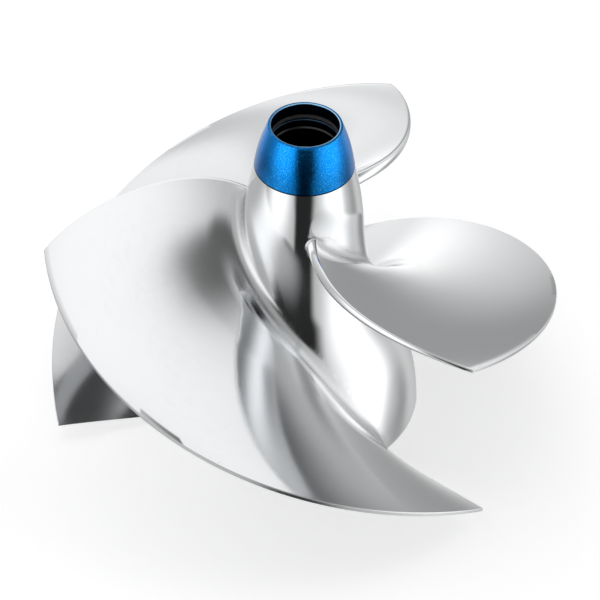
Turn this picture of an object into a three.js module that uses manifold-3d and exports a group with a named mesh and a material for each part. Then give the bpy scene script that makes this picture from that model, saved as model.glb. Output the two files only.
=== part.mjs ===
// Three-bladed jet-pump impeller of a personal watercraft, standing nose up on the rear face of its hub.
// Millimetres. +Z runs along the shaft axis towards the nose; z = 0 is the rear face of the hub.

import * as THREE from 'three';
import { mergeVertices } from 'three/addons/utils/BufferGeometryUtils.js';
import Module from 'manifold-3d';

// ---- Driving dimensions ------------------------------------------------------------------------

const GAP = 0.3; // clearance between pieces that touch

const TIP_RADIUS = 79.5;
const BLADE_COUNT = 3;
const FIRST_BLADE_ANGLE = 180; // degrees

// Outside of the hub, a bell that narrows into a slim nose: radius at each height.
const HUB_OUTLINE = [
  [38.3, 3],
  [37.2, 12],
  [33.6, 24],
  [27.8, 36],
  [23.1, 48],
  [20.4, 60],
  [18.9, 72],
  [17.6, 84],
  [15.2, 96.2],
];
const HUB_EDGE_ROUND = 2; // rounding at the rear edge of the bell
const NOSE_SHOULDER_Z = 96.2; // where the nose ring sits on the hub
const SPIGOT_RADIUS = 12.5;
const SPIGOT_TOP_Z = 102.5;

const SOCKET_MOUTH_RADIUS = 9.9;
const SPLINE_ROOT_RADIUS = 10.1; // bottom of the tooth spaces
const SPLINE_TOOTH_RADIUS = 9; // tops of the teeth
const SPLINE_TEETH = 18;
const SPLINE_TOP_Z = 94;
const SPLINE_END_Z = 60;
const POCKET_RADIUS = 10.4; // run-out below the spline, where the bumper lies
const POCKET_FLOOR_Z = 50;

const THREAD_RADIUS = 8.6; // minor radius of the tapped bore for the pump shaft
const THREAD_DEPTH_Z = 38;
const BOSS_RADIUS = 14.5;
const BOSS_FACE_Z = 1.5; // the boss stands back from the rear face
const RECESS_RADIUS = 31; // lightening recess around the boss
const RECESS_DEPTH_Z = 17;
const RECESS_FLOOR_RADIUS = 25;

const SPIGOT_SEAL_Z = 99.4;
const SPIGOT_SEAL_RADIUS = 11.85;
const SPIGOT_SEAL_SECTION = 0.65;

const RING_TOP_Z = 111.2;
const RING_BASE_RADIUS = 15.2;
const RING_TOP_RADIUS = 11.3;
const RING_BORE_RADIUS = 10.23;
const RING_BULGE = 0.45; // how far the taper bows out at half height
const RIM_CHAMFER = 0.25;

const SHAFT_SEAL_Z = 106.2;
const SHAFT_SEAL_RADIUS = 10.65;
const SHAFT_SEAL_SECTION = 0.7;

const BUMPER_RADIUS = 8.5;
const BUMPER_HEIGHT = 7;
const BUMPER_EDGE = 0.8;

// Blade edges as polynomials in the inward run from the tip (0) to the innermost radius (1).
const INNER_RADIUS = 18;
const LEADING_ANGLE = [9.43, -41.7, 8, -25.3, 27.3]; // degrees from the blade's base angle
const LEADING_HEIGHT = [70.8, 26, -42.2, 47.7, -23.1];
const TRAILING_ANGLE = 136.6;
const TRAILING_HEIGHT_TIP = 5.65;
const TRAILING_HEIGHT_HUB = 0.6;
// How unevenly each blade descends from its leading to its trailing edge, at the tip and at the root.
const DESCENT_TIP = [0.372, 0.123, 0.161, 0];
const DESCENT_ROOT = [0.855, 0.425, 0.49, 0.345];
const DESCENT_ROOT_RADIUS = 28;
const BLADE_TIP_THICKNESS = 1.5;
const BLADE_ROOT_THICKNESS = 5;
const BLADE_EDGE_THICKNESS = 1.1;
const LEADING_ROOT_THICKNESS = 4.2; // the leading edge is blunt at the hub and thins towards the tip
const EDGE_RUN = 0.18; // share of the blade's length over which it reaches its full thickness
const RISE_RUN = 0.3; // share over which the front surface rises to the blunt leading edge
const NOSE_REACH = 0.3; // how far the rounded leading edge stands out, as a share of its thickness

const RADIAL_STEPS = 10;
const CHORD_STEPS = 32;
const NOSE_STEPS = 3;
const ROUND_SEGMENTS = 60;
const SEAL_SEGMENTS = 36;

// ---- Materials ---------------------------------------------------------------------------------

const polishedSteel = new THREE.MeshStandardMaterial({ color: 0xd2d4d6, roughness: 0.18, metalness: 1 });
const blueAnodised = new THREE.MeshStandardMaterial({ color: 0x0b5fc4, roughness: 0.32, metalness: 1 });
const blackRubber = new THREE.MeshStandardMaterial({ color: 0x141416, roughness: 0.75, metalness: 0 });

// ---- Solids ------------------------------------------------------------------------------------

const wasm = await Module();
wasm.setup();

function toSolid(geometry) {
  geometry.deleteAttribute('normal');
  geometry.deleteAttribute('uv');
  const merged = mergeVertices(geometry, 1e-5);
  const mesh = new wasm.Mesh({
    numProp: 3,
    vertProperties: new Float32Array(merged.attributes.position.array),
    triVerts: new Uint32Array(merged.index.array),
  });
  return new wasm.Manifold(mesh);
}

function toGeometry(solid) {
  const mesh = solid.getMesh();
  const geometry = new THREE.BufferGeometry();
  geometry.setAttribute('position', new THREE.BufferAttribute(new Float32Array(mesh.vertProperties), 3));
  geometry.setIndex(new THREE.BufferAttribute(new Uint32Array(mesh.triVerts), 1));
  geometry.computeVertexNormals();
  return geometry;
}

function lathe(points, segments) {
  const geometry = new THREE.LatheGeometry(points, segments);
  geometry.rotateX(Math.PI / 2);
  return geometry;
}

function node(name, geometry, material) {
  const mesh = new THREE.Mesh(geometry, material);
  mesh.name = name;
  return mesh;
}

function sealRing(radius, section, z) {
  const circle = [];
  for (let i = 0; i <= 8; i += 1) {
    const a = (i / 8) * 2 * Math.PI;
    circle.push(new THREE.Vector2(radius + section * Math.cos(a), z + section * Math.sin(a)));
  }
  circle[8].copy(circle[0]);
  return lathe(circle, SEAL_SEGMENTS);
}

// ---- Hub ---------------------------------------------------------------------------------------

// The outside of the bell, from the nose shoulder down to the rear edge.
function bellOutline(offset, steps) {
  const curve = new THREE.SplineCurve(HUB_OUTLINE.map(([r, z]) => new THREE.Vector2(r + offset, z)));
  return curve.getPoints(steps).reverse();
}

function roundedRearEdge(offset) {
  const radius = HUB_OUTLINE[0][0] - HUB_EDGE_ROUND;
  const points = [];
  for (let i = 1; i <= 4; i += 1) {
    const a = (i / 4) * (Math.PI / 2);
    const x = radius + (HUB_EDGE_ROUND + offset) * Math.cos(a);
    points.push(new THREE.Vector2(x, HUB_EDGE_ROUND - (HUB_EDGE_ROUND + offset) * Math.sin(a)));
  }
  return points;
}

function hubProfile() {
  const sealGroove = SPIGOT_SEAL_SECTION + GAP;
  const grooveBottom = SPIGOT_SEAL_RADIUS - sealGroove;
  const socket = [
    [0, POCKET_FLOOR_Z],
    [POCKET_RADIUS, POCKET_FLOOR_Z],
    [POCKET_RADIUS, SPLINE_END_Z],
    [SPLINE_TOOTH_RADIUS, SPLINE_END_Z + 1],
    [SPLINE_TOOTH_RADIUS, SPLINE_TOP_Z],
    [SPLINE_ROOT_RADIUS + 0.1, SPLINE_TOP_Z + 1],
    [SPLINE_ROOT_RADIUS + 0.1, SPIGOT_TOP_Z - 2],
    [SOCKET_MOUTH_RADIUS, SPIGOT_TOP_Z - 1.6],
    [SOCKET_MOUTH_RADIUS, SPIGOT_TOP_Z - 0.4],
    [SOCKET_MOUTH_RADIUS + 0.4, SPIGOT_TOP_Z],
  ];
  const spigot = [
    [SPIGOT_RADIUS - 0.3, SPIGOT_TOP_Z],
    [SPIGOT_RADIUS, SPIGOT_TOP_Z - 0.3],
    [SPIGOT_RADIUS, SPIGOT_SEAL_Z + sealGroove],
    [grooveBottom, SPIGOT_SEAL_Z + sealGroove],
    [grooveBottom, SPIGOT_SEAL_Z - sealGroove],
    [SPIGOT_RADIUS, SPIGOT_SEAL_Z - sealGroove],
    [SPIGOT_RADIUS, NOSE_SHOULDER_Z],
  ];
  const rear = [
    [RECESS_RADIUS, 0],
    [RECESS_FLOOR_RADIUS, RECESS_DEPTH_Z],
    [BOSS_RADIUS + 1, RECESS_DEPTH_Z],
    [BOSS_RADIUS, RECESS_DEPTH_Z - 1],
    [BOSS_RADIUS, BOSS_FACE_Z],
    [THREAD_RADIUS + 0.8, BOSS_FACE_Z],
    [THREAD_RADIUS, BOSS_FACE_Z + 0.8],
    [THREAD_RADIUS, THREAD_DEPTH_Z],
    [0, THREAD_DEPTH_Z + THREAD_RADIUS * 0.6],
  ];
  const points = [];
  for (const [r, z] of [...socket, ...spigot]) {
    points.push(new THREE.Vector2(r, z));
  }
  points.push(...bellOutline(0, 18), ...roundedRearEdge(0));
  for (const [r, z] of rear) {
    points.push(new THREE.Vector2(r, z));
  }
  return points.reverse();
}

// One star-shaped prism that cuts all the tooth spaces of the spline at once.
function splineCutter() {
  const shape = new THREE.Shape();
  const pitch = (2 * Math.PI) / SPLINE_TEETH;
  const corners = [
    [SPLINE_TOOTH_RADIUS - 0.4, -0.27],
    [SPLINE_ROOT_RADIUS, -0.17],
    [SPLINE_ROOT_RADIUS, 0.17],
    [SPLINE_TOOTH_RADIUS - 0.4, 0.27],
  ];
  for (let tooth = 0; tooth < SPLINE_TEETH; tooth += 1) {
    for (const [r, part] of corners) {
      const a = (tooth + part) * pitch;
      shape.lineTo(r * Math.cos(a), r * Math.sin(a));
    }
  }
  const depth = SPLINE_TOP_Z - SPLINE_END_Z + 2;
  const geometry = new THREE.ExtrudeGeometry(shape, { depth, bevelEnabled: false });
  geometry.translate(0, 0, SPLINE_END_Z - 1);
  return geometry;
}

function hub() {
  const body = toSolid(lathe(hubProfile(), ROUND_SEGMENTS));
  return toGeometry(body.subtract(toSolid(splineCutter())));
}

// The bell grown by the clearance, to trim the blade roots.
function rootTrimmer() {
  const outline = bellOutline(GAP, 18);
  const points = [new THREE.Vector2(0, NOSE_SHOULDER_Z), ...outline, ...roundedRearEdge(GAP)];
  points.push(new THREE.Vector2(0, points[points.length - 1].y));
  return toSolid(lathe(points.reverse(), ROUND_SEGMENTS));
}

// ---- Blades ------------------------------------------------------------------------------------

function polynomial(coefficients, x) {
  return coefficients.reduceRight((sum, c) => sum * x + c, 0);
}

function outwardShare(radius, from) {
  return THREE.MathUtils.clamp((radius - from) / (TIP_RADIUS - from), 0, 1);
}

// Share of the blade's fall reached at the share t of its length.
function descent(radius, t) {
  const outward = outwardShare(radius, DESCENT_ROOT_RADIUS);
  const [a, b, c, d] = DESCENT_ROOT.map((root, i) => THREE.MathUtils.lerp(root, DESCENT_TIP[i], outward));
  const q = 1 - 2 * t;
  return t - t * (1 - t) * (a - b * q + c * q * q - d * q * q * q);
}

// Angle (radians) and height of the sheet that the blade is built on.
function bladeSheet(radius, t) {
  const inward = (TIP_RADIUS - radius) / (TIP_RADIUS - INNER_RADIUS);
  const startAngle = polynomial(LEADING_ANGLE, inward);
  const startHeight = polynomial(LEADING_HEIGHT, inward);
  const hubShare = outwardShare(radius, HUB_OUTLINE[0][0]);
  const endHeight = THREE.MathUtils.lerp(TRAILING_HEIGHT_HUB, TRAILING_HEIGHT_TIP, hubShare);
  return {
    angle: THREE.MathUtils.degToRad(THREE.MathUtils.lerp(startAngle, TRAILING_ANGLE, t)),
    height: THREE.MathUtils.lerp(startHeight, endHeight, descent(radius, t)),
  };
}

// Unit step along the sheet towards the trailing edge, on the unrolled cylinder of that radius.
function sheetDirection(radius, t) {
  const step = 1e-3;
  const before = bladeSheet(radius, t - step);
  const after = bladeSheet(radius, t + step);
  const along = radius * (after.angle - before.angle);
  const down = after.height - before.height;
  const length = Math.hypot(along, down);
  return { along: along / length, down: down / length };
}

function offSheet(radius, t, distance) {
  const { angle, height } = bladeSheet(radius, t);
  const { along, down } = sheetDirection(radius, t);
  return { angle: angle - (distance * down) / radius, height: height + distance * along };
}

function leadingThickness(radius) {
  const inward = 1 - outwardShare(radius, INNER_RADIUS);
  return THREE.MathUtils.lerp(BLADE_EDGE_THICKNESS, LEADING_ROOT_THICKNESS, inward);
}

function bladeThickness(radius, t) {
  const inward = 1 - outwardShare(radius, INNER_RADIUS);
  const full = THREE.MathUtils.lerp(BLADE_TIP_THICKNESS, BLADE_ROOT_THICKNESS, inward);
  const edge = t < 0.5 ? leadingThickness(radius) : BLADE_EDGE_THICKNESS;
  const fromEdge = Math.min(1, Math.min(t, 1 - t) / EDGE_RUN);
  return THREE.MathUtils.lerp(edge, full, Math.sqrt(fromEdge));
}

// How far the front surface stands above the sheet near the leading edge.
function bladeRise(radius, t) {
  const near = Math.max(0, 1 - t / RISE_RUN);
  return (leadingThickness(radius) - BLADE_EDGE_THICKNESS) * near * near;
}

function bladeFront(radius, t) {
  return offSheet(radius, t, bladeRise(radius, t));
}

function bladeRear(radius, t) {
  return offSheet(radius, t, bladeRise(radius, t) - bladeThickness(radius, t));
}

// The rounded leading edge: the turn runs from 0 at the rear surface to pi at the front one.
function bladeNose(radius, turn) {
  const front = bladeFront(radius, 0);
  const rear = bladeRear(radius, 0);
  const { along, down } = sheetDirection(radius, 0);
  const share = (1 - Math.cos(turn)) / 2;
  const ahead = NOSE_REACH * leadingThickness(radius) * Math.sin(turn);
  return {
    angle: THREE.MathUtils.lerp(rear.angle, front.angle, share) - (ahead * along) / radius,
    height: THREE.MathUtils.lerp(rear.height, front.height, share) - ahead * down,
  };
}

// The closed outline at one radius: down the front, back up the rear and round the leading edge.
function bladeOutline(radius) {
  const outline = [];
  for (let j = 0; j <= CHORD_STEPS; j += 1) {
    outline.push(bladeFront(radius, j / CHORD_STEPS));
  }
  for (let j = CHORD_STEPS; j >= 0; j -= 1) {
    outline.push(bladeRear(radius, j / CHORD_STEPS));
  }
  for (let j = 1; j <= NOSE_STEPS; j += 1) {
    outline.push(bladeNose(radius, (Math.PI * j) / (NOSE_STEPS + 1)));
  }
  return outline;
}

function bladeGeometry() {
  const positions = [];
  for (let i = 0; i <= RADIAL_STEPS; i += 1) {
    const radius = THREE.MathUtils.lerp(INNER_RADIUS - 4, TIP_RADIUS, i / RADIAL_STEPS);
    for (const { angle, height } of bladeOutline(Math.max(radius, INNER_RADIUS))) {
      positions.push(radius * Math.cos(angle), radius * Math.sin(angle), height);
    }
  }
  const index = [];
  const quad = (a, b, c, d) => index.push(a, b, c, a, c, d);
  const row = 2 * (CHORD_STEPS + 1) + NOSE_STEPS;
  for (let i = 0; i < RADIAL_STEPS; i += 1) {
    for (let k = 0; k < row; k += 1) {
      const a = i * row + k;
      const b = i * row + ((k + 1) % row);
      quad(a, a + row, b + row, b);
    }
  }
  const tip = RADIAL_STEPS * row;
  const rearStart = 2 * CHORD_STEPS + 1;
  for (let j = 0; j < CHORD_STEPS; j += 1) {
    const k = rearStart - j;
    quad(j, j + 1, k - 1, k);
    quad(tip + j, tip + k, tip + k - 1, tip + j + 1);
  }
  for (let k = rearStart; k < row - 1; k += 1) {
    index.push(0, k, k + 1);
    index.push(tip, tip + k + 1, tip + k);
  }
  const geometry = new THREE.BufferGeometry();
  geometry.setAttribute('position', new THREE.Float32BufferAttribute(positions, 3));
  geometry.setIndex(index);
  return geometry;
}

// Everything below the rear face of the hub.
function floorCutter() {
  const size = 4 * TIP_RADIUS;
  const geometry = new THREE.BoxGeometry(size, size, size);
  geometry.translate(0, 0, -size / 2);
  return toSolid(geometry);
}

function blades() {
  const whole = toSolid(bladeGeometry());
  const blade = toGeometry(whole.subtract(rootTrimmer()).subtract(floorCutter()));
  const meshes = [];
  for (let i = 0; i < BLADE_COUNT; i += 1) {
    const mesh = node(`blade_${i + 1}`, blade.clone(), polishedSteel);
    mesh.rotation.z = THREE.MathUtils.degToRad(FIRST_BLADE_ANGLE + (i * 360) / BLADE_COUNT);
    meshes.push(mesh);
  }
  return meshes;
}

// ---- Nose ring, seals and bumper ---------------------------------------------------------------

function noseRing() {
  const bottom = NOSE_SHOULDER_Z + GAP;
  const socketRadius = SPIGOT_RADIUS + GAP;
  const socketTop = SPIGOT_TOP_Z + GAP;
  const groove = SHAFT_SEAL_SECTION + GAP;
  const grooveRadius = SHAFT_SEAL_RADIUS + groove;
  const points = [
    [socketRadius, bottom],
    [socketRadius, socketTop],
    [RING_BORE_RADIUS, socketTop],
    [RING_BORE_RADIUS, SHAFT_SEAL_Z - groove],
    [grooveRadius, SHAFT_SEAL_Z - groove],
    [grooveRadius, SHAFT_SEAL_Z + groove],
    [RING_BORE_RADIUS, SHAFT_SEAL_Z + groove],
    [RING_BORE_RADIUS, RING_TOP_Z - RIM_CHAMFER],
    [RING_BORE_RADIUS + RIM_CHAMFER, RING_TOP_Z],
    [RING_TOP_RADIUS - RIM_CHAMFER, RING_TOP_Z],
  ].map(([r, z]) => new THREE.Vector2(r, z));
  const steps = 6;
  for (let i = steps; i >= 0; i -= 1) {
    const share = i / steps;
    const r = THREE.MathUtils.lerp(RING_BASE_RADIUS, RING_TOP_RADIUS, share);
    const bulge = RING_BULGE * Math.sin(share * Math.PI);
    points.push(new THREE.Vector2(r + bulge, THREE.MathUtils.lerp(bottom, RING_TOP_Z - RIM_CHAMFER, share)));
  }
  points.push(points[0].clone());
  return lathe(points.reverse(), ROUND_SEGMENTS);
}

function splineBumper() {
  const bottom = POCKET_FLOOR_Z + GAP;
  const top = bottom + BUMPER_HEIGHT;
  const points = [
    [0, bottom],
    [BUMPER_RADIUS - BUMPER_EDGE, bottom],
    [BUMPER_RADIUS, bottom + BUMPER_EDGE],
    [BUMPER_RADIUS, top - BUMPER_EDGE],
    [BUMPER_RADIUS - BUMPER_EDGE, top],
    [0, top],
  ].map(([r, z]) => new THREE.Vector2(r, z));
  return lathe(points, SEAL_SEGMENTS);
}

// ---- Assembly ----------------------------------------------------------------------------------

const group = new THREE.Group();
group.add(node('hub', hub(), polishedSteel));
group.add(...blades());
group.add(node('nose_ring', noseRing(), blueAnodised));
group.add(node('spigot_seal', sealRing(SPIGOT_SEAL_RADIUS, SPIGOT_SEAL_SECTION, SPIGOT_SEAL_Z), blackRubber));
group.add(node('shaft_seal', sealRing(SHAFT_SEAL_RADIUS, SHAFT_SEAL_SECTION, SHAFT_SEAL_Z), blackRubber));
group.add(node('spline_bumper', splineBumper(), blackRubber));

export default group;
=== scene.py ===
"""Builds the looks of a three-bladed jet-pump impeller, standing nose up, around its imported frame.

The file is laid out as an add-on: the property groups hold the sizes and finishes, and each operator makes
one piece, or one group of like pieces. Sizes are in metres; +Z runs along the shaft towards the nose.
"""

import math

import bpy
import numpy as np
from bpy.props import FloatProperty, FloatVectorProperty, IntProperty, PointerProperty
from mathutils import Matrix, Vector
from mathutils.geometry import delaunay_2d_cdt


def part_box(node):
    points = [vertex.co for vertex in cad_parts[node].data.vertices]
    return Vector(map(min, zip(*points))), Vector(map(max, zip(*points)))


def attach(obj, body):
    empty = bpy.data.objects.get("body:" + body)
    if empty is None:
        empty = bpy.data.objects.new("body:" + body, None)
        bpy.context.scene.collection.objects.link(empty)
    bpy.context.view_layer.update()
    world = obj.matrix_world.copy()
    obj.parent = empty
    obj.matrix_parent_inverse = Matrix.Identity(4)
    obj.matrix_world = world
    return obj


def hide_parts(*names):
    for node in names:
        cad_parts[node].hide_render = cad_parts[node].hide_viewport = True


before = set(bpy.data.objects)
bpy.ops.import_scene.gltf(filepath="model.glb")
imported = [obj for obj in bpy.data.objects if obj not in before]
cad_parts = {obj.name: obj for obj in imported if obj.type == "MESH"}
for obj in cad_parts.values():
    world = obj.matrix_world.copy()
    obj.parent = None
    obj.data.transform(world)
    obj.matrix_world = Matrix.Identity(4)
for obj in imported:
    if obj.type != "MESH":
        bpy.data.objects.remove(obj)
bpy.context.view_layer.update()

bl_info = {
    "name": "Jet Pump Impeller",
    "version": (1, 0, 0),
    "blender": (4, 5, 0),
    "location": "View3D > Sidebar > Impeller",
    "description": "Makes a polished three-bladed jet-pump impeller with its nose ring, seals and bumper",
    "category": "Add Mesh",
}

MM = 0.001
BLADE_COUNT = 3
FIRST_BLADE_ANGLE = math.pi
SECTOR = 2 * math.pi / BLADE_COUNT

# The outside of the hub, as radius and height in millimetres, from its rear edge to the nose shoulder.
HUB_OUTLINE = [
    (38.3, 2.0),
    (37.2, 12.0),
    (33.6, 24.0),
    (27.8, 36.0),
    (23.1, 48.0),
    (20.4, 60.0),
    (18.9, 72.0),
    (17.6, 84.0),
    (15.2, 96.2),
]

# Blade edges as polynomials in the inward run from the tip (0) to the innermost radius (1).
LEADING_ANGLE = (9.43, -41.7, 8.0, -25.3, 27.3)
LEADING_HEIGHT = (70.8, 26.0, -42.2, 47.7, -23.1)
# How unevenly a blade descends from its leading to its trailing edge, at the tip and at the root.
DESCENT_TIP = (0.372, 0.123, 0.161, 0.0)
DESCENT_ROOT = (0.855, 0.425, 0.49, 0.345)


# ---- Sizes and finishes ------------------------------------------------------------------------


class CastingSettings(bpy.types.PropertyGroup):
    tip_radius: FloatProperty(
        name="Tip radius", description="Radius of the machined blade tips", default=79.48 * MM, unit="LENGTH"
    )
    inner_radius: FloatProperty(
        name="Inner radius",
        description="Radius where the blade outlines start",
        default=18 * MM,
        unit="LENGTH",
    )
    tip_thickness: FloatProperty(
        name="Tip thickness", description="Blade thickness at the tip", default=1.5 * MM, unit="LENGTH"
    )
    root_thickness: FloatProperty(
        name="Root thickness", description="Blade thickness at the hub", default=5.0 * MM, unit="LENGTH"
    )
    edge_thickness: FloatProperty(
        name="Edge thickness",
        description="Blade thickness at its trailing edge and at the outer end of its leading edge",
        default=1.1 * MM,
        unit="LENGTH",
    )
    leading_root_thickness: FloatProperty(
        name="Leading edge at the root",
        description="Thickness of the blunt leading edge where it meets the hub",
        default=4.2 * MM,
        unit="LENGTH",
    )
    fillet: FloatProperty(
        name="Root fillet",
        description="Run of the fillet between blade and hub",
        default=3.4 * MM,
        unit="LENGTH",
    )
    chord_steps: IntProperty(name="Chord steps", description="Faces along each side of a blade", default=110)
    radial_steps: IntProperty(
        name="Radial steps", description="Faces from root to tip of a blade", default=36
    )


class FinishSettings(bpy.types.PropertyGroup):
    steel: FloatVectorProperty(
        name="Steel",
        description="Colour of the polished casting",
        subtype="COLOR",
        default=(0.83, 0.84, 0.85),
    )
    steel_roughness: FloatProperty(name="Steel roughness", description="Gloss of the casting", default=0.09)
    blue: FloatVectorProperty(
        name="Blue",
        description="Colour of the anodised nose ring",
        subtype="COLOR",
        default=(0.003, 0.27, 0.86),
    )
    blue_roughness: FloatProperty(name="Blue roughness", description="Gloss of the nose ring", default=0.19)


class StageSettings(bpy.types.PropertyGroup):
    elevation: FloatProperty(
        name="Camera elevation",
        description="Camera height above the horizon",
        default=math.radians(42.16),
        subtype="ANGLE",
    )
    roll: FloatProperty(
        name="Camera roll", description="Tilt of the picture", default=math.radians(1.365), subtype="ANGLE"
    )
    distance: FloatProperty(
        name="Camera distance", description="Distance to the point looked at", default=0.7937, unit="LENGTH"
    )
    lens: FloatProperty(name="Lens", description="Focal length for a 36 mm sensor", default=151.1)


# ---- Blade and hub surfaces, in millimetres ----------------------------------------------------


def mix(a, b, share):
    return a + (b - a) * share


def clamp01(value):
    return min(1.0, max(0.0, value))


def polynomial(coefficients, x):
    total = 0.0
    for c in reversed(coefficients):
        total = total * x + c
    return total


class Blade:
    """One blade, as its closed outline on any cylinder round the shaft."""

    TRAILING_ANGLE = 136.6
    TRAILING_HEIGHT_HUB = 0.75
    TRAILING_HEIGHT_TIP = 5.65
    DESCENT_ROOT_RADIUS = 28.0
    EDGE_RUN = 0.18  # share of the chord over which the blade reaches its full thickness
    RISE_RUN = 0.3  # share of the chord over which the front rises to the blunt leading edge
    NOSE_REACH = 0.3  # how far the rounded leading edge stands out, as a share of its thickness
    NOSE_POINTS = 11

    def __init__(self, settings, hub_radius):
        self.tip = settings.tip_radius / MM
        self.inner = settings.inner_radius / MM
        self.tip_thickness = settings.tip_thickness / MM
        self.root_thickness = settings.root_thickness / MM
        self.edge_thickness = settings.edge_thickness / MM
        self.leading_root_thickness = settings.leading_root_thickness / MM
        self.hub_radius = hub_radius
        steps = settings.chord_steps
        # Half even, half bunched towards both ends.
        self.shares = [
            mix(i / steps, 0.5 - 0.5 * math.cos(math.pi * i / steps), 0.5) for i in range(steps + 1)
        ]

    def outward(self, radius, start):
        return clamp01((radius - start) / (self.tip - start))

    def descent(self, radius, t):
        share = self.outward(radius, self.DESCENT_ROOT_RADIUS)
        a, b, c, d = (mix(root, tip, share) for root, tip in zip(DESCENT_ROOT, DESCENT_TIP))
        q = 1 - 2 * t
        return t - t * (1 - t) * (a - b * q + c * q * q - d * q**3)

    def sheet(self, radius, t):
        """Angle and height of the sheet that the blade is built on."""
        inward = (self.tip - radius) / (self.tip - self.inner)
        start = polynomial(LEADING_ANGLE, inward)
        height = polynomial(LEADING_HEIGHT, inward)
        end = mix(self.TRAILING_HEIGHT_HUB, self.TRAILING_HEIGHT_TIP, self.outward(radius, self.hub_radius))
        angle = math.radians(mix(start, self.TRAILING_ANGLE, t))
        return angle, mix(height, end, self.descent(radius, t))

    def direction(self, radius, t):
        """Unit direction of the sheet towards the trailing edge, on the unrolled cylinder."""
        step = 1e-3
        a0, h0 = self.sheet(radius, t - step)
        a1, h1 = self.sheet(radius, t + step)
        along, down = radius * (a1 - a0), h1 - h0
        length = math.hypot(along, down)
        return along / length, down / length

    def off_sheet(self, radius, t, distance):
        angle, height = self.sheet(radius, t)
        along, down = self.direction(radius, t)
        return angle - distance * down / radius, height + distance * along

    def leading_thickness(self, radius):
        return mix(self.leading_root_thickness, self.edge_thickness, self.outward(radius, self.inner))

    def thickness(self, radius, t):
        full = mix(self.root_thickness, self.tip_thickness, self.outward(radius, self.inner))
        edge = self.leading_thickness(radius) if t < 0.5 else self.edge_thickness
        run = clamp01(min(t, 1 - t) / self.EDGE_RUN)
        return mix(edge, full, math.sin(run * math.pi / 2))

    def rise(self, radius, t):
        """How far the front surface stands above the sheet near the leading edge."""
        return (self.leading_thickness(radius) - self.edge_thickness) * clamp01(1 - t / self.RISE_RUN) ** 2

    def front(self, radius, t):
        return self.off_sheet(radius, t, self.rise(radius, t))

    def rear(self, radius, t):
        return self.off_sheet(radius, t, self.rise(radius, t) - self.thickness(radius, t))

    def nose(self, radius, turn):
        """Rounded leading edge: turn runs from 0 at the rear surface to pi at the front surface."""
        a0, h0 = self.rear(radius, 0.0)
        a1, h1 = self.front(radius, 0.0)
        along, down = self.direction(radius, 0.0)
        share = 0.5 - 0.5 * math.cos(turn)
        ahead = self.NOSE_REACH * self.leading_thickness(radius) * math.sin(turn)
        return mix(a0, a1, share) - ahead * along / radius, mix(h0, h1, share) - ahead * down

    def size(self):
        return 2 * len(self.shares) + self.NOSE_POINTS

    def point(self, k, radius):
        """Point k of the outline at that radius, as x, y, z before the blade is turned to its place."""
        count = len(self.shares)
        if k < count:
            angle, height = self.front(radius, self.shares[k])
        elif k < 2 * count:
            angle, height = self.rear(radius, self.shares[2 * count - 1 - k])
        else:
            angle, height = self.nose(radius, math.pi * (k - 2 * count + 1) / (self.NOSE_POINTS + 1))
        return Vector((radius * math.cos(angle), radius * math.sin(angle), height))


class HubSkin:
    """The outside of the hub: a point is an angle and a run down the outline from the shoulder."""

    EDGE_ROUND = 2.0

    def __init__(self):
        radii = np.array([r for r, _ in HUB_OUTLINE])
        heights = np.array([z for _, z in HUB_OUTLINE])
        fine = np.linspace(heights[-1], heights[0], 400)
        outline = [(r, z) for r, z in zip(natural_spline(heights, radii, fine), fine)]
        centre = outline[-1][0] - self.EDGE_ROUND
        for i in range(1, 13):
            a = math.pi / 2 * i / 12
            r = centre + self.EDGE_ROUND * math.cos(a)
            outline.append((r, self.EDGE_ROUND * (1 - math.sin(a))))
        self.outline = np.array(outline)
        steps = np.hypot(*np.diff(self.outline, axis=0).T)
        self.runs = np.concatenate([[0.0], np.cumsum(steps)])
        self.length = self.runs[-1]

    def radius_at(self, height):
        return float(np.interp(-height, -self.outline[:, 1], self.outline[:, 0]))

    def at(self, run):
        r = np.interp(run, self.runs, self.outline[:, 0])
        z = np.interp(run, self.runs, self.outline[:, 1])
        return float(r), float(z)

    def point(self, angle, run):
        r, z = self.at(run)
        return Vector((r * math.cos(angle), r * math.sin(angle), z))

    def normal(self, point):
        run = self.nearest_run(point)
        r0, z0 = self.at(run - 0.3)
        r1, z1 = self.at(run + 0.3)
        angle = math.atan2(point.y, point.x)
        out, up = z0 - z1, r1 - r0
        return Vector((out * math.cos(angle), out * math.sin(angle), up)).normalized()

    def nearest_run(self, point):
        r = math.hypot(point.x, point.y)
        gaps = np.hypot(self.outline[:, 0] - r, self.outline[:, 1] - point.z)
        i = int(np.clip(np.argmin(gaps), 1, len(gaps) - 2))
        near, far = self.outline[i - 1], self.outline[i + 1]
        along = far - near
        share = np.dot(np.array([r, point.z]) - near, along) / np.dot(along, along)
        return float(mix(self.runs[i - 1], self.runs[i + 1], clamp01(share)))


def natural_spline(x, y, at):
    """Values at the given places of the smooth curve through x, y with straight ends."""
    n = len(x)
    h = np.diff(x)
    system = np.eye(n)
    slopes = np.zeros(n)
    for i in range(1, n - 1):
        system[i, i - 1 : i + 2] = h[i - 1], 2 * (h[i - 1] + h[i]), h[i]
        slopes[i] = 6 * ((y[i + 1] - y[i]) / h[i] - (y[i] - y[i - 1]) / h[i - 1])
    bend = np.linalg.solve(system, slopes)
    i = np.clip(np.searchsorted(x, at) - 1, 0, n - 2)
    a = (x[i + 1] - at) / h[i]
    b = (at - x[i]) / h[i]
    curve = (a**3 - a) * bend[i] + (b**3 - b) * bend[i + 1]
    return a * y[i] + b * y[i + 1] + curve * h[i] ** 2 / 6


# ---- The casting -------------------------------------------------------------------------------


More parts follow.
